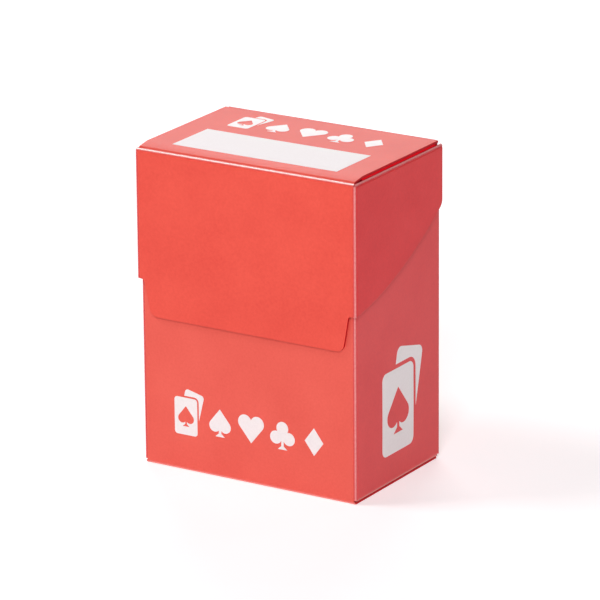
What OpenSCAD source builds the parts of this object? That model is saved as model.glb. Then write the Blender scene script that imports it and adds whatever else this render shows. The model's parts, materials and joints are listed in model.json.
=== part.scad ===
// Flip-lid deck box for trading cards, folded from one scored sheet of polypropylene.
// The body is a tube of four panels with a folded base. The lid is creased to the back panel.
// +Z is up, the front faces -Y, and the origin is the centre of the underside.

/* [Body] */
// Width of the body across its side panels
body_w = 72; // [60:0.5:90]
// Depth of the body from its front face to its back face
body_d = 47.2; // [39:0.2:60]
// Height of the closed box
box_h = 96.5; // [80:0.5:120]
// How far the front panel's edge stops below the top of the box
front_drop = 26; // [20:0.5:34]
// How far the side panels stop below the top of the box at the back
side_drop = 5; // [3:0.5:8]

/* [Sheet] */
// Thickness of the sheet
sheet_t = 0.7; // [0.5:0.05:0.9]
// Thickness left in a crease where the sheet is scored
web_t = 0.3; // [0.2:0.05:0.4]
// Inner radius of a folded crease, which keeps its two panels clear of each other
fold_inside = 0.1; // [0.05:0.05:0.3]
// Inner radius of the lid's hinge crease, which is scored wider
hinge_inside = 0.4; // [0.35:0.05:0.8]
// Length of the relief cut where two creases meet
relief = 0.5; // [0.2:0.1:1]
// Radius of the sheet's free corners
corner_r = 3; // [1:0.5:5]

/* [Base] */
// How far the base panel stops short of the side faces
base_inset = 0.35; // [0.1:0.05:0.6]
// Length of the dust flaps, inwards from the side panels
dust_flap = 20; // [12:0.5:26]
// Height of the flap that tucks inside the back panel
tuck_flap = 14; // [8:0.5:20]
// Width of the flap that joins the back panel to the left panel
seam_flap_w = 11; // [6:0.5:15]
// Slant at the ends of the flaps
flap_slant = 4; // [2:0.5:6]

/* [Lid] */
// Clearance between the lid's sides and the body's sides
lid_side_gap = 0.1; // [0.1:0.05:0.4]
// Clearance between the lid's front and the body's front
lid_front_gap = 0.4; // [0.1:0.05:0.6]
// Depth of the lid at its front corners
lid_front_depth = 40; // [32:0.5:44]
// Depth of the lid at its back corners
lid_back_depth = 19; // [12:0.5:24]
// How far the slanted side edges bow below a straight line
edge_bow = 3.2; // [1:0.2:5]
// Drop of the tongue below the lid's front corners
tongue_drop = 11; // [7:0.5:14]
// Distance of the tongue's root from each side face of the lid
tongue_shelf = 2.4; // [1.8:0.1:5]
// Lean of the tongue's slanted edges over their height
tongue_lean = 2.1; // [1:0.1:4]
// Radius of the tongue's lower corners
tongue_r = 2.5; // [1:0.5:4]
// Radius at the tongue's root
root_r = 1.1; // [0.5:0.1:1.2]
// How far the front crease lies below the top panel
front_dip = 0.9; // [0.5:0.1:1.2]
// Length over which the top panel dips to the front crease
dip_len = 4.6; // [3:0.2:6]
// How far the tabs slope down from under the top panel to their creases
tab_sag = 0.4; // [0:0.1:0.8]
// Width of the tabs glued under the top panel
tab_w = 12; // [8:0.5:15]

/* [Print] */
// Thickness of the printed ink
ink_t = 0.05; // [0.02:0.01:0.1]
// Width of the write-on field
field_w = 55; // [40:0.5:58]
// Depth of the write-on field
field_d = 18.6; // [12:0.2:20]
// Gap between the write-on field and the mark behind it
field_gap = 5.8; // [2:0.2:6]
// Height of the card emblem on the top
top_emblem_h = 13; // [8:0.5:14]
// Height of the card emblem on the front
front_emblem_h = 14.2; // [10:0.2:16]
// Height of the front mark above the base
front_mark_z = 11; // [6:0.2:14]
// Height of the card emblem on the right side
side_emblem_h = 31.5; // [20:0.5:32]
// Height of the side emblem above the base
side_mark_z = 9.5; // [6:0.5:10]
// Distance of the side emblem's middle behind the middle of the side
side_mark_y = 2; // [-3:0.5:3]
// Height of a suit pip
pip_h = 8.4; // [6:0.2:9]
// Spacing of the suit pips
pip_pitch = 10.6; // [8:0.2:12]
// Gap between the emblem and the first pip
pip_gap = 2.4; // [1:0.2:3]

/* [Divider] */
// Thickness of the deck divider
divider_t = 0.5; // [0.3:0.05:0.8]
// Clearance at each side of the divider
divider_side_gap = 0.4; // [0.2:0.1:1]
// How far the divider stops below the top of the box
divider_drop = 5; // [3:0.5:12]
// Gap between the divider and the flap behind it
divider_back_gap = 1.2; // [0.6:0.2:4]

/* [Hidden] */
$fn = 48;
coral = "#ee6156";
coral_crease = "#f58c82";
white_ink = "#f6f4f3";

half_w = body_w / 2;
half_d = body_d / 2;
// Outer radii of the creases, flush with the outside of the sheet
fold_r = sheet_t + fold_inside;
hinge_r = sheet_t + hinge_inside;
// The lid's outer faces
lid_half_w = half_w + lid_side_gap + sheet_t;
lid_front_y = -half_d - lid_front_gap - sheet_t;
lid_fold_x = lid_half_w - fold_r;
lid_fold_y = lid_front_y + fold_r;
lid_flat_y = lid_fold_y + dip_len;
// The tabs are glued under the top panel, and slope down to the side creases
under_top_z = box_h - sheet_t;
front_fold_z = box_h - front_dip - fold_r;
side_fold_z = under_top_z - tab_sag - fold_r;
lid_corner_z = box_h - lid_front_depth;
lid_back_z = box_h - lid_back_depth;
tongue_z = lid_corner_z - tongue_drop;
// The dust flaps lie one sheet above the base panel
dust_z = sheet_t;
side_low_z = dust_z + fold_r;
front_low_z = fold_r;
front_top_z = box_h - front_drop;
side_back_z = box_h - side_drop;
hinge_z = box_h - hinge_r;
hinge_y = half_d - hinge_r;
// The seam flap lies inside the left panel, and the tuck flap inside the back panel
seam_x = -half_w + sheet_t;
tuck_y = half_d - sheet_t;
floor_z = 2 * sheet_t;
curve_steps = 20;

function unit(v) = v / norm(v);

// The arc that rounds the corner b of a path a, b, c to radius r
function fillet(a, b, c, r) =
    let (
        u = unit(a - b),
        v = unit(c - b),
        half = acos(u * v) / 2,
        centre = b + unit(u + v) * r / sin(half),
        start = b + u * r / tan(half) - centre,
        turn = cross(u, v) > 0 ? -(180 - 2 * half) : 180 - 2 * half
    )
    [for (i = [0:8]) let (t = turn * i / 8)
        centre + [start.x * cos(t) - start.y * sin(t), start.x * sin(t) + start.y * cos(t)]];

// A closed outline with each corner rounded to its radius, where 0 leaves it sharp
function rounded(points, radii) =
    let (n = len(points))
    [for (i = [0:n - 1])
        each radii[i] == 0 ? [points[i]]
            : fillet(points[(i + n - 1) % n], points[i], points[(i + 1) % n], radii[i])];

// Points along a slanted edge that bows below the straight line between its ends
function bowed(a, b) =
    [for (i = [1:curve_steps - 1]) let (s = i / curve_steps)
        a + (b - a) * s - [0, 4 * edge_bow * s * (1 - s)]];

// Stands an outline drawn in X and Z upright, with its thickness along Y
module facing_y(y, thick) {
    translate([0, y + thick, 0])
        rotate([90, 0, 0])
            linear_extrude(thick)
                children();
}

// Stands an outline drawn in Y and Z upright, with its thickness along X
module facing_x(x, thick) {
    translate([x, 0, 0])
        rotate([90, 0, 90])
            linear_extrude(thick)
                children();
}

// The thinned web of a folded crease: a quarter ring in the first quadrant, along +Z
module web(length, r = fold_r) {
    color(coral_crease)
        linear_extrude(length)
            intersection() {
                difference() {
                    circle(r);
                    circle(r - web_t);
                }
                square(r);
            }
}

// A web along +X whose fold is at the given corner: dy and dz point out of the fold
module web_along_x(length, y, z, dy, dz, r = fold_r) {
    translate([-length / 2, y, z])
        scale([1, dy, dz])
            rotate([90, 0, 90])
                web(length, r);
}

// ---- Body ----

module front_panel() {
    width = half_w - fold_r;
    color(coral)
        facing_y(-half_d, sheet_t)
            polygon(rounded(
                [[-width, front_low_z], [width, front_low_z], [width, front_top_z], [-width, front_top_z]],
                [0, 0, corner_r, corner_r]));
}

// A side panel, low at the front and high at the back, drawn in Y and Z
module side_outline(front_y, back_y) {
    low = [front_y, front_top_z];
    high = [back_y, side_back_z];
    polygon(rounded(
        concat([[front_y, side_low_z], low], bowed(low, high), [high, [back_y, side_low_z]]),
        concat([0, 0], [for (i = [1:curve_steps - 1]) 0], [corner_r / 2, 0])));
}

module right_panel() {
    color(coral)
        facing_x(half_w - sheet_t, sheet_t)
            side_outline(-half_d + fold_r, half_d - fold_r);
}

module left_panel() {
    color(coral)
        facing_x(-half_w, sheet_t)
            side_outline(-half_d + fold_r, half_d - base_inset);
}

module back_panel() {
    color(coral)
        facing_y(half_d - sheet_t, sheet_t)
            polygon([
                [seam_x + fold_r, base_inset],
                [half_w - fold_r, base_inset],
                [half_w - fold_r, hinge_z],
                [seam_x + fold_r, hinge_z]
            ]);
}

// The back panel's flap, welded to the inside of the left panel
module seam_flap() {
    back = half_d - fold_r;
    front = back - seam_flap_w;
    color(coral)
        facing_x(seam_x, sheet_t)
            polygon([
                [back, floor_z + fold_r],
                [front, floor_z + fold_r + flap_slant],
                [front, front_top_z - flap_slant],
                [back, front_top_z]
            ]);
}

module bottom_panel() {
    width = half_w - base_inset;
    color(coral)
        linear_extrude(sheet_t)
            polygon([
                [-width, -half_d + fold_r],
                [width, -half_d + fold_r],
                [width, tuck_y - fold_r],
                [-width, tuck_y - fold_r]
            ]);
}

// The base panel's flap, tucked up inside the back panel
module bottom_tuck_flap() {
    width = half_w - floor_z - base_inset;
    top = fold_r + tuck_flap;
    color(coral)
        facing_y(tuck_y - sheet_t, sheet_t)
            polygon(rounded(
                [[-width, fold_r], [width, fold_r], [width - flap_slant, top], [flap_slant - width, top]],
                [0, 0, corner_r, corner_r]));
}

// A dust flap folded in from the right panel, over the base panel
module dust_flap_outline() {
    outer = half_w - fold_r;
    inner = outer - dust_flap;
    front = -half_d + sheet_t + base_inset;
    back = tuck_y - sheet_t - base_inset;
    polygon(rounded(
        [[outer, front + relief], [outer, back - relief], [inner, back - flap_slant], [inner, front + flap_slant]],
        [0, 0, corner_r, corner_r]));
}

module right_dust_flap() {
    color(coral)
        translate([0, 0, dust_z])
            linear_extrude(sheet_t)
                dust_flap_outline();
}

module left_dust_flap() {
    mirror([1, 0, 0])
        right_dust_flap();
}

module front_right_crease() {
    translate([half_w - fold_r, -half_d + fold_r, side_low_z + relief])
        rotate([0, 0, -90])
            web(front_top_z - corner_r - side_low_z - 2 * relief);
}

module front_left_crease() {
    mirror([1, 0, 0])
        front_right_crease();
}

module back_right_crease() {
    translate([half_w - fold_r, half_d - fold_r, side_low_z + relief])
        web(side_back_z - corner_r - side_low_z - relief);
}

// The crease from the back panel into the seam flap
module seam_crease() {
    translate([seam_x + fold_r, half_d - fold_r, floor_z + fold_r])
        rotate([0, 0, 90])
            web(front_top_z - floor_z - fold_r);
}

module bottom_front_crease() {
    web_along_x(2 * (half_w - fold_r - relief), -half_d + fold_r, fold_r, -1, -1);
}

module bottom_back_crease() {
    web_along_x(2 * (half_w - floor_z - base_inset - relief), tuck_y - fold_r, fold_r, 1, -1);
}

module right_dust_crease() {
    front = -half_d + sheet_t + base_inset + relief;
    back = tuck_y - sheet_t - base_inset - relief;
    translate([half_w - fold_r, front, side_low_z])
        rotate([-90, 0, 0])
            web(back - front);
}

module left_dust_crease() {
    mirror([1, 0, 0])
        right_dust_crease();
}

// ---- Lid ----

// The crease that the lid turns on, between the back panel and the lid's top panel
module lid_hinge_crease() {
    web_along_x(2 * (half_w - fold_r), hinge_y, hinge_z, 1, 1, hinge_r);
}

// A layer of the lid's top: flat, with a dip down to the front crease
module top_layer(z, thick) {
    facing_x(-lid_fold_x, 2 * lid_fold_x)
        polygon([
            [lid_fold_y, z - front_dip],
            [lid_flat_y, z],
            [hinge_y, z],
            [hinge_y, z + thick],
            [lid_flat_y, z + thick],
            [lid_fold_y, z + thick - front_dip]
        ]);
}

module lid_top_panel() {
    color(coral)
        top_layer(under_top_z, sheet_t);
}

// The front panel, with the tongue that hangs below the lid's corners
module lid_front_panel() {
    root = lid_half_w - tongue_shelf;
    tip = root - tongue_lean;
    color(coral)
        facing_y(lid_front_y, sheet_t)
            polygon(rounded(
                [
                    [-lid_fold_x, front_fold_z], [-lid_fold_x, lid_corner_z], [-root, lid_corner_z],
                    [-tip, tongue_z], [tip, tongue_z],
                    [root, lid_corner_z], [lid_fold_x, lid_corner_z], [lid_fold_x, front_fold_z]
                ],
                [0, 0, root_r, tongue_r, tongue_r, root_r, 0, 0]));
}

module lid_side_outline() {
    low = [lid_fold_y, lid_corner_z];
    high = [half_d, lid_back_z];
    polygon(rounded(
        concat([[lid_fold_y, side_fold_z], low], bowed(low, high), [high, [half_d, side_fold_z]]),
        concat([0, 0], [for (i = [1:curve_steps - 1]) 0], [corner_r, 0])));
}

module lid_right_panel() {
    color(coral)
        facing_x(lid_half_w - sheet_t, sheet_t)
            lid_side_outline();
}

module lid_left_panel() {
    mirror([1, 0, 0])
        lid_right_panel();
}

// A tab folded in from the right panel, which rises to the top panel and is glued under it
module lid_right_tab() {
    back = half_d - hinge_r - fold_r;
    inner = lid_fold_x - tab_w;
    color(coral)
        intersection() {
            facing_y(lid_flat_y, back - lid_flat_y)
                polygon([
                    [lid_fold_x, under_top_z - tab_sag - sheet_t],
                    [lid_fold_x, under_top_z - tab_sag],
                    [inner, under_top_z],
                    [inner, under_top_z - sheet_t]
                ]);
            linear_extrude(box_h)
                polygon([
                    [lid_fold_x, lid_flat_y],
                    [lid_fold_x, back],
                    [inner, back - flap_slant],
                    [inner, lid_flat_y + flap_slant]
                ]);
        }
}

module lid_left_tab() {
    mirror([1, 0, 0])
        lid_right_tab();
}

module lid_front_top_crease() {
    web_along_x(2 * (lid_fold_x - relief), lid_fold_y, front_fold_z, -1, 1);
}

module lid_front_right_crease() {
    translate([lid_fold_x, lid_fold_y, lid_corner_z])
        rotate([0, 0, -90])
            web(side_fold_z - relief - lid_corner_z);
}

module lid_front_left_crease() {
    mirror([1, 0, 0])
        lid_front_right_crease();
}

module lid_right_tab_crease() {
    front = lid_fold_y + relief;
    translate([lid_fold_x, half_d, side_fold_z])
        rotate([90, 0, 0])
            web(half_d - front);
}

module lid_left_tab_crease() {
    mirror([1, 0, 0])
        lid_right_tab_crease();
}

// ---- Print ----

// A heart of height h that stands on its point
module heart(h) {
    lobe = 0.27 * h;
    centre = [0.25 * h, h - lobe];
    reach = norm(centre);
    tangent = sqrt(reach * reach - lobe * lobe);
    lean = atan2(centre.y, centre.x) - asin(lobe / reach);
    side = tangent * [cos(lean), sin(lean)];
    for (x = [-1, 1])
        translate([x * centre.x, centre.y])
            circle(lobe);
    polygon([[0, 0], side, centre, [-centre.x, centre.y], [-side.x, side.y]]);
}

// The flared foot of a spade or club
module stem(h) {
    polygon([[-0.19 * h, 0], [0.19 * h, 0], [0.05 * h, 0.12 * h], [0.04 * h, 0.5 * h],
        [-0.04 * h, 0.5 * h], [-0.05 * h, 0.12 * h]]);
}

module spade(h) {
    translate([0, h])
        mirror([0, 1])
            heart(0.84 * h);
    stem(h);
}

module club(h) {
    leaf = 0.235 * h;
    translate([0, h - leaf])
        circle(leaf);
    for (x = [-1, 1])
        translate([x * 0.26 * h, 0.41 * h])
            circle(leaf);
    translate([-leaf / 2, 0.4 * h])
        square([leaf, leaf]);
    stem(h);
}

module diamond(h) {
    polygon([[0, 0], [0.37 * h, h / 2], [0, h], [-0.37 * h, h / 2]]);
}

module suit_row(h, pitch) {
    spade(h);
    translate([pitch, 0])
        heart(h);
    translate([2 * pitch, 0])
        club(h);
    translate([3 * pitch, 0])
        diamond(h);
}

// A card of width w and height h with round corners, its lower left corner at the origin
module card(w, h, r) {
    translate([r, 0])
        square([w - 2 * r, h]);
    translate([0, r])
        square([w, h - 2 * r]);
    for (x = [r, w - r], y = [r, h - r])
        translate([x, y])
            circle(r);
}

// Two cards, one leaning behind the other, with a spade cut out of the front one
function emblem_w(h) = 0.71 * h;

module card_emblem(h) {
    front = [0.55, 0.8] * h;
    back = [0.46, 0.72] * h;
    back_corner = [0.105, 0.305] * h;
    lean = 14;
    r = 0.07 * h;
    line = 0.04 * h;
    difference() {
        translate(back_corner)
            rotate(-lean)
                card(back.x, back.y, r);
        translate([-line, -line])
            card(front.x + 2 * line, front.y + 2 * line, r + line);
    }
    difference() {
        card(front.x, front.y, r);
        translate([front.x / 2, 0.18 * h])
            spade(0.44 * h);
    }
}

// An emblem followed by a row of suits, centred on X and standing on Y = 0
module emblem_and_suits(emblem_h) {
    pip_w = 0.74 * pip_h;
    start = emblem_w(emblem_h) + pip_gap + pip_w / 2;
    total = start + 3 * pip_pitch + pip_w / 2;
    translate([-total / 2, 0]) {
        card_emblem(emblem_h);
        translate([start, (emblem_h - pip_h) / 4])
            suit_row(pip_h, pip_pitch);
    }
}

// The field and the mark behind it are centred on the lid's top
print_depth = field_d + field_gap + top_emblem_h;
print_front_y = (lid_front_y + half_d - print_depth) / 2;

// Ink on the lid's top, from an outline drawn in X and Y
module top_ink() {
    color(white_ink)
        intersection() {
            top_layer(box_h, ink_t);
            linear_extrude(box_h + 2 * ink_t)
                children();
        }
}

module write_on_field() {
    top_ink()
        translate([-field_w / 2, print_front_y])
            square([field_w, field_d]);
}

module top_print() {
    top_ink()
        translate([0, print_front_y + field_d + field_gap])
            emblem_and_suits(top_emblem_h);
}

module front_print() {
    color(white_ink)
        facing_y(-half_d - ink_t, ink_t)
            translate([0, front_mark_z])
                emblem_and_suits(front_emblem_h);
}

module side_print() {
    color(white_ink)
        facing_x(half_w, ink_t)
            translate([side_mark_y - emblem_w(side_emblem_h) / 2, side_mark_z])
                card_emblem(side_emblem_h);
}

// ---- Divider ----

module deck_divider() {
    width = half_w - floor_z - divider_side_gap;
    back = tuck_y - sheet_t - divider_back_gap;
    top = box_h - divider_drop;
    color(coral)
        facing_y(back - divider_t, divider_t)
            polygon(rounded(
                [[-width, floor_z], [width, floor_z], [width, top], [-width, top]],
                [0, 0, corner_r, corner_r]));
}

front_panel();
right_panel();
back_panel();
left_panel();
seam_flap();
bottom_panel();
bottom_tuck_flap();
right_dust_flap();
left_dust_flap();
front_right_crease();
front_left_crease();
back_right_crease();
seam_crease();
bottom_front_crease();
bottom_back_crease();
right_dust_crease();
left_dust_crease();
lid_hinge_crease();
lid_top_panel();
lid_front_panel();
lid_right_panel();
lid_left_panel();
lid_right_tab();
lid_left_tab();
lid_front_top_crease();
lid_front_right_crease();
lid_front_left_crease();
lid_right_tab_crease();
lid_left_tab_crease();
write_on_field();
top_print();
front_print();
side_print();
deck_divider();
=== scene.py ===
import json
import math
import bmesh
import bpy
from mathutils import Matrix, Vector, noise


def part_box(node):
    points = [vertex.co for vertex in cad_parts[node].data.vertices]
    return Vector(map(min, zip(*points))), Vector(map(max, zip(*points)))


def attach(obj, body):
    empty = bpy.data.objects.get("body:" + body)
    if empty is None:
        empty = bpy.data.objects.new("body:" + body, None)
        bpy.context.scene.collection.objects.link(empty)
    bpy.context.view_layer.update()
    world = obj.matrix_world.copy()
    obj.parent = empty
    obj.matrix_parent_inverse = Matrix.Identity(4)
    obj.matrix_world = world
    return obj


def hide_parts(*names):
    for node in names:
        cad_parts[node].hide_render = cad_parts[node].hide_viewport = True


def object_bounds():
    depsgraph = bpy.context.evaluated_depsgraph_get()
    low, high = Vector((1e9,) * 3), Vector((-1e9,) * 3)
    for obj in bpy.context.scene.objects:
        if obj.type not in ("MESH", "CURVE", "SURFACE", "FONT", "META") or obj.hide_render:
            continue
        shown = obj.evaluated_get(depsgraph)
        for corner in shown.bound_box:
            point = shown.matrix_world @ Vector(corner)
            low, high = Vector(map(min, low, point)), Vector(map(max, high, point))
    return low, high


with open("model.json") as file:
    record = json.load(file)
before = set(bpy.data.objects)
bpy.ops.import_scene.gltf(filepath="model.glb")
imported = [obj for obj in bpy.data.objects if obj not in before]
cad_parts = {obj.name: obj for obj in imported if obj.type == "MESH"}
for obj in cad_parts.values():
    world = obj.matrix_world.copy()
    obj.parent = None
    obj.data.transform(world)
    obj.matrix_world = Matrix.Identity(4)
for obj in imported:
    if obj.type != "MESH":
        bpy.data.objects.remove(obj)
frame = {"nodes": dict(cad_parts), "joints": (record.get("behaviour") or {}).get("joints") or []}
cad_low, cad_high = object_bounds()

# ---------------------------------------------------------------- front panel
# The body's front wall, the first panel of a die-cut polypropylene sheet 0.7 mm thick. It is scored
# and folded where it meets the side walls and the base, and its top edge is a plain cut edge that
# stands behind the lid.
MM = 0.001
X = Vector((1, 0, 0))
Y = Vector((0, 1, 0))
Z = Vector((0, 0, 1))
SHEET = 0.7 * MM
GROOVE_WIDTH = 0.55 * MM  # the score rolls the sheet's face down over this width
GROOVE_LINES = (0.2, 0.4, 0.6, 0.8, 1.0, 1.6)  # mesh lines beside a score, in groove widths
GROOVE_DEPTH = 0.16 * MM
BASE_GROOVE = 0.05 * MM  # the base's scores are shallow, and wear smooth
CUT_ROUND = 0.09 * MM  # a die-cut edge is slightly rolled
ON_SCORE = 0.01 * MM  # an edge this near a score is the score's own, and isn't rolled
GRID = 4.5 * MM  # spacing of the mesh lines that let a panel bow
MERGE = 0.001 * MM  # the CAD mesh's loose corners are joined within this distance
FLAT = 0.01  # radians; faces that turn less than this are one face
SHARP = math.radians(50)  # an edge that turns more than this isn't shaded round


def linear(code):
    """An sRGB hex colour as the linear RGBA that a shader socket takes."""
    parts = [int(code[i : i + 2], 16) / 255 for i in (1, 3, 5)]
    return (*[c / 12.92 if c <= 0.04045 else ((c + 0.055) / 1.055) ** 2.4 for c in parts], 1)


def add_node(tree, kind, settings=None, links=None, **attributes):
    """Adds a shader node, sets its attributes and inputs, and links its inputs."""
    node = tree.nodes.new(kind)
    for name, value in attributes.items():
        setattr(node, name, value)
    for name, value in (settings or {}).items():
        node.inputs[name].default_value = value
    for name, output in (links or {}).items():
        tree.links.new(output, node.inputs[name])
    return node


def new_material(name):
    """An empty shader material and its node tree."""
    material = bpy.data.materials.new(name)
    material.use_nodes = True
    material.node_tree.nodes.clear()
    return material, material.node_tree


def satin_polypropylene(name, deep, pale, roughness):
    """Extruded polypropylene with a fine sand emboss: satin, its pigment lightly clouded."""
    material, tree = new_material(name)
    place = add_node(tree, "ShaderNodeTexCoord").outputs["Object"]
    # The pigment clouds over about 14 mm.
    clouds = add_node(tree, "ShaderNodeTexNoise", {"Scale": 70.0, "Detail": 3.0}, {"Vector": place})
    # The emboss is about 0.15 mm across, drawn at 0.7 mm so that it shows.
    grain = add_node(tree, "ShaderNodeTexNoise", {"Scale": 1400.0, "Detail": 3.0}, {"Vector": place})
    grain_share = add_node(
        tree, "ShaderNodeMath", {1: 0.9}, {0: grain.outputs["Fac"]}, operation="MULTIPLY"
    )
    both = add_node(
        tree, "ShaderNodeMath", {},
        {0: clouds.outputs["Fac"], 1: grain_share.outputs[0]}, operation="ADD",
    )
    tint = add_node(
        tree, "ShaderNodeMapRange", {"From Min": 0.6, "From Max": 1.3}, {"Value": both.outputs[0]}
    )
    colour = add_node(
        tree, "ShaderNodeMix", {6: linear(deep), 7: linear(pale)},
        {0: tint.outputs["Result"]}, data_type="RGBA",
    )
    gloss = add_node(
        tree, "ShaderNodeMapRange",
        {"From Min": 0.3, "From Max": 0.7, "To Min": roughness - 0.04, "To Max": roughness + 0.05},
        {"Value": grain.outputs["Fac"]},
    )
    bump = add_node(
        tree, "ShaderNodeBump", {"Strength": 0.4, "Distance": 0.04 * MM},
        {"Height": grain.outputs["Fac"]},
    )
    shader = add_node(
        tree, "ShaderNodeBsdfPrincipled", {"IOR": 1.49, "Specular IOR Level": 0.14},
        {
            "Base Color": colour.outputs[2],
            "Roughness": gloss.outputs["Result"],
            "Normal": bump.outputs["Normal"],
        },
    )
    add_node(tree, "ShaderNodeOutputMaterial", {}, {"Surface": shader.outputs["BSDF"]})
    return material


def cut_polypropylene(name, deep, pale, glow):
    """The die-cut edge shows the sheet's core: deep red, partly its own colour and partly painted shade,
    with a glow that stands for light inside it.
    """
    material, tree = new_material(name)
    place = add_node(tree, "ShaderNodeTexCoord").outputs["Object"]
    # The blade leaves fine marks about 0.5 mm apart.
    marks = add_node(tree, "ShaderNodeTexNoise", {"Scale": 1900.0, "Detail": 2.0}, {"Vector": place})
    colour = add_node(
        tree, "ShaderNodeMix", {6: linear(deep), 7: linear(pale)},
        {0: marks.outputs["Fac"]}, data_type="RGBA",
    )
    bump = add_node(
        tree, "ShaderNodeBump", {"Strength": 0.3, "Distance": 0.02 * MM},
        {"Height": marks.outputs["Fac"]},
    )
    shader = add_node(
        tree, "ShaderNodeBsdfPrincipled",
        {
            "IOR": 1.49,
            "Specular IOR Level": 0.1,
            "Roughness": 0.4,
            "Emission Color": linear("#e00520"),
            "Emission Strength": glow,
        },
        {"Base Color": colour.outputs[2], "Normal": bump.outputs["Normal"]},
    )
    add_node(tree, "ShaderNodeOutputMaterial", {}, {"Surface": shader.outputs["BSDF"]})
    return material


# One sheet, but coloured by place: the body's is painted a shade paler than the lid's, painted light
# that stands for light coming through its single wall, and the sides' deeper and cooler than the
# front's, painted shade.
body_sheet = satin_polypropylene("coral_satin_polypropylene_body", "#e75e51", "#f0685a", 0.42)
lid_sheet = satin_polypropylene("coral_satin_polypropylene_lid", "#e65144", "#f15d4d", 0.4)
# The cut edges are painted deep red, partly as painted shade, and their slight glow is painted light.
coral_cut = cut_polypropylene("coral_cut_polypropylene", "#a80412", "#c00c1a", 0.1)


def outer_face(node, outward):
    """A CAD panel's outer face as one flat outline, and its distance along outward."""
    bm = bmesh.new()
    bm.from_mesh(frame["nodes"][node].data)
    bmesh.ops.remove_doubles(bm, verts=bm.verts, dist=MERGE)
    turned_away = [f for f in bm.faces if f.normal.dot(outward) < 0.97]
    bmesh.ops.delete(bm, geom=turned_away, context="FACES")
    plane = max(v.co.dot(outward) for v in bm.verts)
    for v in bm.verts:
        v.co += outward * (plane - v.co.dot(outward))
    bmesh.ops.dissolve_limit(bm, angle_limit=FLAT, verts=bm.verts, edges=bm.edges)
    return bm, plane


def cut_lines(bm, axis, places):
    """Cuts the mesh across axis at each place along it."""
    for place in places:
        geom = [*bm.verts, *bm.edges, *bm.faces]
        bmesh.ops.bisect_plane(bm, geom=geom, dist=MERGE / 10, plane_co=axis * place, plane_no=axis)


def score_roll(point, scores):
    """How far the face is rolled down at a point; a score is an axis, a place and a depth."""
    deepest = 0
    for axis, place, depth in scores:
        nearness = max(0, 1 - abs(point.dot(axis) - place) / GROOVE_WIDTH)
        deepest = max(deepest, depth * nearness**2)
    return deepest


def faces_and_rim(bm, outward):
    """Gives the two wide faces material 0 and the rim material 1, and returns the rim's edges."""
    for face in bm.faces:
        face.smooth = True
        face.material_index = 0 if abs(face.normal.dot(outward)) > 0.5 else 1
    return [
        edge for edge in bm.edges
        if edge.link_faces[0].material_index != edge.link_faces[-1].material_index
    ]


def roll_edges(bm, edges, offset):
    """Rounds the edges that the die has rolled."""
    bmesh.ops.bevel(
        bm, geom=edges, offset=offset, offset_type="OFFSET", segments=2, profile=0.5,
        affect="EDGES", material=-1, clamp_overlap=True,
    )


def sheet_panel(name, node, outward, scores, bow, body, sheet):
    """A wall of the box: a plate with rolled cut edges, its face rolled down beside each score."""
    bm, plane = outer_face(node, outward)
    for axis in (X, Y, Z):
        if abs(axis.dot(outward)) > 0.5:
            continue
        low = min(v.co.dot(axis) for v in bm.verts)
        high = max(v.co.dot(axis) for v in bm.verts)
        steps = max(2, round((high - low) / GRID))
        places = [low + (high - low) * i / steps for i in range(1, steps)]
        for scored, place, depth in scores:
            if scored == axis:
                inward = 1 if place - low < high - place else -1
                places += [place + inward * GROOVE_WIDTH * share for share in GROOVE_LINES]
        cut_lines(bm, axis, places)
    bmesh.ops.recalc_face_normals(bm, faces=bm.faces)
    if bm.faces[0].normal.dot(outward) < 0:
        bmesh.ops.reverse_faces(bm, faces=bm.faces)
    shell = bmesh.ops.extrude_face_region(bm, geom=bm.faces[:], use_keep_orig=True)
    inner = [g for g in shell["geom"] if isinstance(g, bmesh.types.BMVert)]
    bmesh.ops.translate(bm, verts=inner, vec=-outward * SHEET)
    bmesh.ops.recalc_face_normals(bm, faces=bm.faces)
    rims = faces_and_rim(bm, outward)
    for axis, place, depth in scores:
        rims = [e for e in rims if abs((e.verts[0].co + e.verts[1].co).dot(axis) / 2 - place) > ON_SCORE]
    roll_edges(bm, rims, CUT_ROUND)
    for v in bm.verts:
        outside = 1 - min(1, max(0, (plane - v.co.dot(outward)) / SHEET))
        v.co += outward * (bow(v.co) - outside * score_roll(v.co, scores))
    finish_piece(name, bm, body, [sheet, coral_cut], [node])


def finish_piece(name, bm, body, materials, nodes):
    """Turns a bmesh into a finished piece that rides on a body and stands for its CAD nodes."""
    mesh = bpy.data.meshes.new(name)
    bm.to_mesh(mesh)
    bm.free()
    mesh.set_sharp_from_angle(angle=SHARP)
    for material in materials:
        mesh.materials.append(material)
    piece = bpy.data.objects.new(name, mesh)
    bpy.context.scene.collection.objects.link(piece)
    level = piece.modifiers.new("flat_faces_stay_flat", "WEIGHTED_NORMAL")
    level.keep_sharp = True
    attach(piece, body)
    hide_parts(*nodes)


def swell(share):
    """A bow that is 0 at both ends of 0 to 1 and 1 in the middle."""
    return math.sin(math.pi * min(1, max(0, share)))


front_low, front_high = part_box("front_panel")
FRONT_SWELL = 0.1 * MM
FRONT_LEAN = 0.3 * MM


def front_bow(p):
    """The wall is held at its sides and base, and sinks a little towards its free top edge."""
    across = swell((p.x - front_low.x) / (front_high.x - front_low.x))
    up = (p.z - front_low.z) / (front_high.z - front_low.z)
    return across * (FRONT_SWELL * swell(up * 1.6) - FRONT_LEAN * up * up)


sheet_panel(
    "front_wall", "front_panel", -Y,
    [
        (X, front_low.x, GROOVE_DEPTH),
        (X, front_high.x, GROOVE_DEPTH),
        (Z, front_low.z, BASE_GROOVE),
    ],
    front_bow, "body", body_sheet,
)

# ---------------------------------------------------------------- side panels
# The body's right and left walls, folded back from the front wall. Their top edges are die-cut on a
# slope, low at the front, so that the cards can be reached. The left one covers the seam flap.
right_low, right_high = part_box("right_panel")
SIDE_SWELL = 0.22 * MM
SIDE_LEAN = 0.4 * MM


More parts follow.
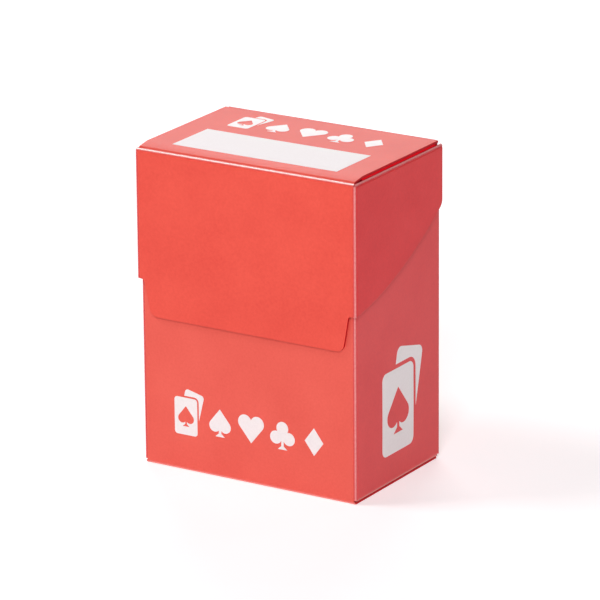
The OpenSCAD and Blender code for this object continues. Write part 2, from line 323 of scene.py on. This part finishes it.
def side_bow(p):
    """The wall swells a little below the lid, and leans in under it towards its free top edge."""
    along = swell((p.y - right_low.y) / (right_high.y - right_low.y))
    up = (p.z - right_low.z) / (right_high.z - right_low.z)
    return along * (SIDE_SWELL * swell(up * 2) - SIDE_LEAN * max(0, (up - 0.5) / 0.5) ** 0.7)


SIDE_SCORES = [(Y, right_low.y, GROOVE_DEPTH), (Z, right_low.z, BASE_GROOVE)]
# The side walls' sheet is painted deeper and cooler than the front's: painted shade.
side_sheet = satin_polypropylene("coral_satin_polypropylene_sides", "#e65052", "#f05a5a", 0.42)
sheet_panel(
    "right_wall", "right_panel", X,
    [*SIDE_SCORES, (Y, right_high.y, GROOVE_DEPTH)], side_bow, "body", side_sheet,
)
sheet_panel("left_wall", "left_panel", -X, SIDE_SCORES, side_bow, "body", side_sheet)

# ---------------------------------------------------------------- back panel and seam flap
# The back wall closes the tube. Its left edge folds into a narrow flap that is welded to the inside
# of the left wall, and its top edge is the lid's hinge.
back_low, back_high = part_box("back_panel")
BACK_SINK = 0.15 * MM


def back_bow(p):
    """The wall sinks a little in its middle."""
    across = swell((p.x - back_low.x) / (back_high.x - back_low.x))
    return -BACK_SINK * across * swell((p.z - back_low.z) / (back_high.z - back_low.z))


sheet_panel(
    "back_wall", "back_panel", Y,
    [
        (X, back_low.x, GROOVE_DEPTH),
        (X, back_high.x, GROOVE_DEPTH),
        (Z, back_high.z, GROOVE_DEPTH),
    ],
    back_bow, "body", body_sheet,
)


def flap(
    node, body, cut_round=CUT_ROUND, materials=(body_sheet, coral_cut), lit=None
):
    """The CAD solid's own shape with rolled cut edges; its faces towards lit get material 2."""
    bm = bmesh.new()
    bm.from_mesh(frame["nodes"][node].data)
    bmesh.ops.remove_doubles(bm, verts=bm.verts, dist=MERGE)
    bmesh.ops.dissolve_limit(bm, angle_limit=FLAT, verts=bm.verts, edges=bm.edges)
    widest = max(bm.faces, key=lambda f: f.calc_area()).normal.copy()
    roll_edges(bm, faces_and_rim(bm, widest), cut_round)
    for face in bm.faces:
        if lit and face.normal.dot(lit) > 0.5:
            face.material_index = 2
    finish_piece(node + "_sheet", bm, body, materials, [node])


flap("seam_flap", "body")

# ---------------------------------------------------------------- base
# The base panel folds back from the front wall and tucks up inside the back wall. Two dust flaps
# fold in from the side walls and lie on it.
for node in ("bottom_panel", "bottom_tuck_flap", "right_dust_flap", "left_dust_flap"):
    flap(node, "body")

# ---------------------------------------------------------------- creases
# Each fold is a line where a heated rule has thinned the sheet to 0.3 mm. The stretched web is glossier
# and paler than the sheet, with a groove down each side. Its pale middle is partly stress whitening and
# partly a painted highlight, and the deep red at its sides is painted shade.
WEB = 0.3 * MM
WHITE_END = 0.4 * MM  # a score's free end is painted pale over this length, a painted highlight on its cut end
REACH = 0.72 * MM  # the web runs on into the round relief that the die cuts at each corner
GROOVE_SHARE = 0.3  # the groove at each side takes this share of the fold
WANDER = 0.02 * MM  # the rule presses unevenly by this much
WANDER_LENGTH = 3 * MM
WEB_GRID = 2 * MM  # spacing of the mesh lines along a web
WEB_STEPS = 14  # mesh lines round a whole fold


def scored_polypropylene(name, deep, pale):
    """Polypropylene drawn thin at a score: smooth, glossy, streaked pale where it stretched and painted
    pale as a highlight down its middle, with painted shade in deep red at its sides.
    """
    material, tree = new_material(name)
    place = add_node(tree, "ShaderNodeTexCoord").outputs["Object"]
    # Stress marks run across the fold, about 0.7 mm apart.
    streaks = add_node(tree, "ShaderNodeTexNoise", {"Scale": 1400.0, "Detail": 2.0}, {"Vector": place})
    # This share is stress whitening and a painted highlight, high down the fold's middle and at its free
    # ends; where it is low, the deep red is painted shade.
    whitening_and_highlight = add_node(tree, "ShaderNodeAttribute", attribute_name="whitening_and_highlight").outputs["Fac"]
    stretch = add_node(
        tree, "ShaderNodeMapRange", {"From Min": 0.3, "From Max": 0.7, "To Min": 0.7},
        {"Value": streaks.outputs["Fac"]},
    )
    whiteness = add_node(
        tree, "ShaderNodeMath", {}, {0: whitening_and_highlight, 1: stretch.outputs["Result"]}, operation="MULTIPLY"
    )
    colour = add_node(
        tree, "ShaderNodeMix", {6: linear(deep), 7: linear(pale)},
        {0: whiteness.outputs[0]}, data_type="RGBA",
    )
    bump = add_node(
        tree, "ShaderNodeBump", {"Strength": 0.25, "Distance": 0.02 * MM},
        {"Height": streaks.outputs["Fac"]},
    )
    shader = add_node(
        tree, "ShaderNodeBsdfPrincipled",
        {"IOR": 1.49, "Roughness": 0.24, "Specular IOR Level": 0.8},
        {"Base Color": colour.outputs[2], "Normal": bump.outputs["Normal"]},
    )
    add_node(tree, "ShaderNodeOutputMaterial", {}, {"Surface": shader.outputs["BSDF"]})
    return material


coral_score = scored_polypropylene("coral_scored_polypropylene", "#d61c26", "#fa9a96")
# The lid's front fold is painted the whitest: partly stress whitening, partly a painted highlight.
coral_white_score = scored_polypropylene("coral_whitened_and_highlit_polypropylene", "#e0362f", "#ffd6cf")
# The base's folds are coloured close to the sheet's own colour, their sides lightened: painted light
# over the shade near the table.
coral_base_score = scored_polypropylene("coral_base_fold_painted_light", "#ea6a60", "#f3968c")


def crease(
    node, first, second, body,
    reach=(0, 0), turn=(0.0, 1.0), name=None, score=coral_score, groove=GROOVE_DEPTH,
):
    """The web of a fold, spun from first towards second.

    reach says for each end whether it runs into a relief, and turn which share of the fold is made.
    """
    start, end = turn
    low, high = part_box(node)
    axis = first.cross(second)
    along = Vector([abs(c) for c in axis])
    centre = Vector([high[i] if (first + second)[i] < 0 else low[i] for i in range(3)])
    radius = max((high - low).dot(Vector([abs(c) for c in first])), WEB)
    length = (high - low).dot(along)

    def spoke(point):
        """From the fold's middle line straight out to a point."""
        return point - centre - along * (point - centre).dot(along)

    bm = bmesh.new()
    near = centre + first * radius
    ends = [
        bm.verts.new(near - along * REACH * reach[0]),
        bm.verts.new(near + along * (length + REACH * reach[1])),
    ]
    line = bm.edges.new(ends)
    bmesh.ops.subdivide_edges(bm, edges=[line], cuts=max(4, round(length / WEB_GRID)))
    free_ends = [low.dot(along)] * (not reach[0]) + [high.dot(along)] * (not reach[1])
    quarter = math.pi / 2
    to_start = Matrix.Rotation(start * quarter, 3, axis)
    bmesh.ops.rotate(bm, cent=centre, matrix=to_start, verts=bm.verts)
    bmesh.ops.spin(
        bm, geom=[*bm.verts, *bm.edges], cent=centre, axis=axis,
        angle=(end - start) * quarter, steps=max(4, round(WEB_STEPS * (end - start))), use_merge=False,
    )
    bmesh.ops.remove_doubles(bm, verts=bm.verts, dist=MERGE / 10)
    for place in free_ends:
        inward = 1 if place < (low + high).dot(along) / 2 else -1
        cut_lines(bm, along, [place + inward * WHITE_END * part for part in (0.5, 1)])
    bmesh.ops.recalc_face_normals(bm, faces=bm.faces)
    if bm.faces[0].normal.dot(spoke(bm.faces[0].calc_center_median())) < 0:
        bmesh.ops.reverse_faces(bm, faces=bm.faces)
    shell = bmesh.ops.extrude_face_region(bm, geom=bm.faces[:], use_keep_orig=True)
    for v in [g for g in shell["geom"] if isinstance(g, bmesh.types.BMVert)]:
        v.co -= spoke(v.co).normalized() * WEB
    bmesh.ops.recalc_face_normals(bm, faces=bm.faces)
    whitening_and_highlight = bm.verts.layers.float.new("whitening_and_highlight")
    for v in bm.verts:
        out = spoke(v.co)
        share = math.atan2(out.dot(second), out.dot(first)) / quarter
        beside = max(0, 1 - min(share, 1 - share) / GROOVE_SHARE)
        to_end = min([abs(v.co.dot(along) - place) for place in free_ends], default=WHITE_END)
        # The pale share peaks down the middle and at free ends as stress whitening and painted
        # highlight, and is low at the sides, where the deep red is painted shade.
        v[whitening_and_highlight] = max(swell(share) ** 3, 1 - to_end / WHITE_END)
        wander = WANDER * noise.noise(v.co / WANDER_LENGTH)
        v.co -= out.normalized() * (groove * beside * beside + abs(wander))
    for face in bm.faces:
        face.smooth = True
    finish_piece(name or node + "_web", bm, body, [score], [node])


crease("front_right_crease", X, -Y, "body", (1, 0))
crease("front_left_crease", -X, -Y, "body", (1, 0))
crease("back_right_crease", X, Y, "body", (1, 0))
crease("seam_crease", -X, Y, "body", (1, 0))
for node, outward in (
    ("bottom_front_crease", -Y),
    ("bottom_back_crease", Y),
    ("right_dust_crease", X),
    ("left_dust_crease", -X),
):
    crease(node, outward, -Z, "body", (1, 1), score=coral_base_score, groove=BASE_GROOVE)

# ---------------------------------------------------------------- lid hinge
# The lid turns on a wider score along the back wall's top. Half of its web bends with the body and
# half with the lid, and the line where it bends is a bead of the thinned sheet.
hinge = next(j for j in frame["joints"] if j["name"] == "lid_hinge")
hinge_point = Vector(hinge["pos_m"])
hinge_low, hinge_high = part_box("lid_hinge_crease")
hinge_length = hinge_high.x - hinge_low.x
crease("lid_hinge_crease", Y, Z, "body", turn=(0.0, 0.5), name="hinge_web_of_body")
crease("lid_hinge_crease", Y, Z, "lid", turn=(0.5, 1.0), name="hinge_web_of_lid")
bm = bmesh.new()
bmesh.ops.create_cone(
    bm, cap_ends=True, segments=20, radius1=WEB / 2, radius2=WEB / 2, depth=hinge_length,
    matrix=Matrix.Translation(hinge_point) @ Matrix.Rotation(math.pi / 2, 4, "Y"),
)
for face in bm.faces:
    face.smooth = True
finish_piece("hinge_bead", bm, "body", [coral_score], ["lid_hinge_crease"])

# ---------------------------------------------------------------- lid top
# The lid's top panel runs from the hinge to the front crease. It rides over the glued side tabs, so
# it dips by about 0.9 mm over the last few millimetres before its front crease.
top_low, top_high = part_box("lid_top_panel")
DIP = 0.9 * MM
DIP_RUN = 4.6 * MM
TOP_SINK = 0.12 * MM


def top_dip(p):
    """The dip to the front crease, and a slight sink in the middle."""
    share = max(0, 1 - (p.y - top_low.y) / DIP_RUN)
    across = swell((p.x - top_low.x) / (top_high.x - top_low.x))
    along = swell((p.y - top_low.y) / (top_high.y - top_low.y))
    return -DIP * share * share - TOP_SINK * across * along


sheet_panel(
    "lid_top", "lid_top_panel", Z,
    [(Y, top_low.y, GROOVE_DEPTH), (Y, top_high.y, GROOVE_DEPTH)], top_dip, "lid", lid_sheet,
)

# ---------------------------------------------------------------- lid front
# The lid's front panel hangs over the body's front wall. Below the lid's corners it narrows to a
# tongue with round corners, the part that a thumb lifts.
lid_front_low, lid_front_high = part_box("lid_front_panel")
corner_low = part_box("lid_front_right_crease")[0]
LID_FRONT_SINK = 0.15 * MM
TONGUE_LEAN = 0.3 * MM


def lid_front_bow(p):
    """The panel sinks a little between its creases, and its tongue leans on the body's front."""
    across = swell((p.x - lid_front_low.x) / (lid_front_high.x - lid_front_low.x))
    up = (p.z - corner_low.z) / (lid_front_high.z - corner_low.z)
    down = max(0, (corner_low.z - p.z) / (corner_low.z - lid_front_low.z))
    return -LID_FRONT_SINK * across * swell(up) - TONGUE_LEAN * min(1, 2 * down)


sheet_panel(
    "lid_front", "lid_front_panel", -Y,
    [
        (X, lid_front_low.x, GROOVE_DEPTH),
        (X, lid_front_high.x, GROOVE_DEPTH),
        (Z, lid_front_high.z, GROOVE_DEPTH),
    ],
    lid_front_bow, "lid", lid_sheet,
)

# ---------------------------------------------------------------- lid sides
# The lid's side panels fold back from its front. Their lower edges are die-cut on a shallow curve
# that climbs to the back, and their back corners are round.
lid_side_low, lid_side_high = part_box("lid_right_panel")


def lid_side_bow(p):
    """The short panel between its two folds stays flat."""
    return 0.0


# The lid's sides and its tabs are painted the deepest of all: painted shade.
lid_side_sheet = satin_polypropylene("coral_satin_polypropylene_lid_sides", "#e43a3e", "#f04648", 0.4)
for name, node, outward in (
    ("lid_right", "lid_right_panel", X),
    ("lid_left", "lid_left_panel", -X),
):
    sheet_panel(
        name, node, outward,
        [(Y, lid_side_low.y, GROOVE_DEPTH), (Z, lid_side_high.z, GROOVE_DEPTH)], lid_side_bow, "lid",
        lid_side_sheet,
    )

# ---------------------------------------------------------------- lid tabs
# A tab folds in from the top of each side panel and is glued under the top panel, which holds the
# lid's corners square. The folds between the lid's panels are made here as well.
TAB_GLOW = 0.4  # stands for the light that comes into the slit above a tab through the top panel
coral_lit = cut_polypropylene("coral_lit_polypropylene", "#c80c1c", "#dc1c26", TAB_GLOW)
for node in ("lid_right_tab", "lid_left_tab"):
    flap(node, "lid", materials=[lid_side_sheet, coral_cut, coral_lit], lit=Z)
crease("lid_front_top_crease", -Y, Z, "lid", (1, 1), score=coral_white_score)
crease("lid_front_right_crease", X, -Y, "lid", (0, 1))
crease("lid_front_left_crease", -X, -Y, "lid", (0, 1))
crease("lid_right_tab_crease", X, Z, "lid", (1, 0))
crease("lid_left_tab_crease", -X, Z, "lid", (1, 0))

# ---------------------------------------------------------------- print
# White ink, screen-printed on the flat sheet before it is folded: a write-on field and a mark on the
# lid's top, and marks on the front and right walls.
INK_SINK = 0.04 * MM  # the film's underside is drawn this far into the wall


def screen_ink(name, dull, bright, roughness):
    """Opaque white screen ink for polyolefins: flat, very slightly uneven, IOR 1.5."""
    material, tree = new_material(name)
    place = add_node(tree, "ShaderNodeTexCoord").outputs["Object"]
    # The mesh of the screen leaves a faint texture about 0.5 mm across.
    film = add_node(tree, "ShaderNodeTexNoise", {"Scale": 1800.0, "Detail": 2.0}, {"Vector": place})
    colour = add_node(
        tree, "ShaderNodeMix", {6: linear(dull), 7: linear(bright)},
        {0: film.outputs["Fac"]}, data_type="RGBA",
    )
    bump = add_node(
        tree, "ShaderNodeBump", {"Strength": 0.2, "Distance": 0.01 * MM},
        {"Height": film.outputs["Fac"]},
    )
    shader = add_node(
        tree, "ShaderNodeBsdfPrincipled", {"IOR": 1.5, "Roughness": roughness},
        {"Base Color": colour.outputs[2], "Normal": bump.outputs["Normal"]},
    )
    add_node(tree, "ShaderNodeOutputMaterial", {}, {"Surface": shader.outputs["BSDF"]})
    return material


white_ink = screen_ink("white_screen_ink", "#f0eceb", "#faf8f7", 0.45)
write_on_ink = screen_ink("white_write_on_ink", "#f3f0ef", "#fbf9f9", 0.6)


def printed(name, node, outward, bow, body, material):
    """A film of ink that follows the bow of the wall it is printed on."""
    bm = bmesh.new()
    bm.from_mesh(frame["nodes"][node].data)
    bmesh.ops.remove_doubles(bm, verts=bm.verts, dist=MERGE)
    bmesh.ops.dissolve_limit(bm, angle_limit=FLAT, verts=bm.verts, edges=bm.edges)
    for axis in (X, Y, Z):
        if abs(axis.dot(outward)) > 0.5:
            continue
        low = min(v.co.dot(axis) for v in bm.verts)
        high = max(v.co.dot(axis) for v in bm.verts)
        steps = max(2, round((high - low) / GRID))
        cut_lines(bm, axis, [low + (high - low) * i / steps for i in range(1, steps)])
    face = max(v.co.dot(outward) for v in bm.verts)
    for v in bm.verts:
        sink = INK_SINK if face - v.co.dot(outward) > INK_SINK / 2 else 0
        v.co += outward * (bow(v.co) - sink)
    finish_piece(name, bm, body, [material], [node])


printed("write_on_strip", "write_on_field", Z, top_dip, "lid", write_on_ink)
printed("top_mark", "top_print", Z, top_dip, "lid", white_ink)
printed("front_mark", "front_print", -Y, front_bow, "body", white_ink)
printed("side_mark", "side_print", X, side_bow, "body", white_ink)

# ---------------------------------------------------------------- deck divider
# A loose card of the same polypropylene, 0.5 mm thick, that stands in the card well and slides
# between two decks.
DIVIDER_ROUND = 0.07 * MM
divider_sheet = satin_polypropylene("divider_satin_polypropylene", "#e54a40", "#f0584c", 0.45)
flap("deck_divider", "divider", DIVIDER_ROUND, [divider_sheet, coral_cut])

# ---------------------------------------------------------------- studio
# The box stands on pale paper. Soft light comes from overhead, from behind and from the front right,
# and a long lens looks down at it from the front right.


def pale_floor():
    """Pale paper with a glow of its own, so that it stays pale where the box shades it."""
    material, tree = new_material("pale_paper")
    place = add_node(tree, "ShaderNodeTexCoord").outputs["Object"]
    # The paper's fibres clump about every millimetre.
    fibre = add_node(tree, "ShaderNodeTexNoise", {"Scale": 900.0, "Detail": 3.0}, {"Vector": place})
    colour = add_node(
        tree, "ShaderNodeMix", {6: linear("#dedede"), 7: linear("#e6e6e6")},
        {0: fibre.outputs["Fac"]}, data_type="RGBA",
    )
    shader = add_node(
        tree, "ShaderNodeBsdfPrincipled",
        {
            "Roughness": 0.9,
            "Specular IOR Level": 0.1,
            "Emission Color": linear("#ffffff"),
            "Emission Strength": 0.48,
        },
        {"Base Color": colour.outputs[2]},
    )
    add_node(tree, "ShaderNodeOutputMaterial", {}, {"Surface": shader.outputs["BSDF"]})
    return material


FLOOR = 4.0  # metres from its middle to each edge
bm = bmesh.new()
bmesh.ops.create_grid(bm, x_segments=4, y_segments=4, size=FLOOR)
floor_mesh = bpy.data.meshes.new("floor")
bm.to_mesh(floor_mesh)
bm.free()
floor_mesh.materials.append(pale_floor())
floor = bpy.data.objects.new("floor", floor_mesh)
bpy.context.scene.collection.objects.link(floor)

world = bpy.data.worlds.new("studio")
bpy.context.scene.world = world
world.use_nodes = True
backdrop = world.node_tree.nodes["Background"]
backdrop.inputs["Color"].default_value = linear("#fff6fa")
backdrop.inputs["Strength"].default_value = 0.05

middle = (cad_low + cad_high) / 2


def softbox(name, direction, distance, size, power, tint="#ffffff"):
    """A square area light that faces the box from a direction; power is its watts."""
    light = bpy.data.lights.new(name, "AREA")
    light.size = size
    light.energy = power
    light.color = linear(tint)[:3]
    lamp = bpy.data.objects.new(name, light)
    lamp.location = middle + Vector(direction).normalized() * distance
    lamp.rotation_euler = Vector(direction).to_track_quat("Z", "Y").to_euler()
    bpy.context.scene.collection.objects.link(lamp)


softbox("front_left", (-0.55, -0.75, 0.42), 1.2, 0.6, 0.4)
softbox("overhead", (-0.504, -0.308, 0.807), 1.0, 0.3, 3.9)
softbox("behind", (-0.42, 0.72, 0.55), 1.2, 0.7, 6.3)
softbox("behind_right", (0.308, 0.807, 0.504), 1.2, 0.25, 0.5, "#fff0f5")
softbox("front_right", (0.37, -0.71, 0.6), 1.1, 0.25, 5.5, "#ffeff4")

# The camera stands to the front right and looks down at the box.
AZIMUTH = math.radians(32.021)
ELEVATION = math.radians(17.961)
ROLL = math.radians(-0.486)
DISTANCE = 1.3896
AIM_RIGHT = 0.002186  # how far the view's centre lies from the base's centre
AIM_UP = 0.046527
FOCAL = 7.9345  # focal length over the sensor's width
back = Vector(
    (
        math.sin(AZIMUTH) * math.cos(ELEVATION),
        -math.cos(AZIMUTH) * math.cos(ELEVATION),
        math.sin(ELEVATION),
    )
)
level_right = Vector((math.cos(AZIMUTH), math.sin(AZIMUTH), 0))
turn = Matrix.Rotation(ROLL, 3, back)
right = turn @ level_right
up = turn @ back.cross(level_right)
camera_data = bpy.data.cameras.new("camera")
camera_data.sensor_width = 36.0
camera_data.lens = FOCAL * camera_data.sensor_width
camera_data.clip_start = 0.05
camera_data.clip_end = 20.0
camera = bpy.data.objects.new("camera", camera_data)
place = right * AIM_RIGHT + up * AIM_UP + back * DISTANCE
camera.matrix_world = Matrix.Translation(place) @ Matrix((right, up, back)).transposed().to_4x4()
bpy.context.scene.collection.objects.link(camera)
bpy.context.scene.camera = camera
bpy.context.scene.view_settings.view_transform = "Standard"
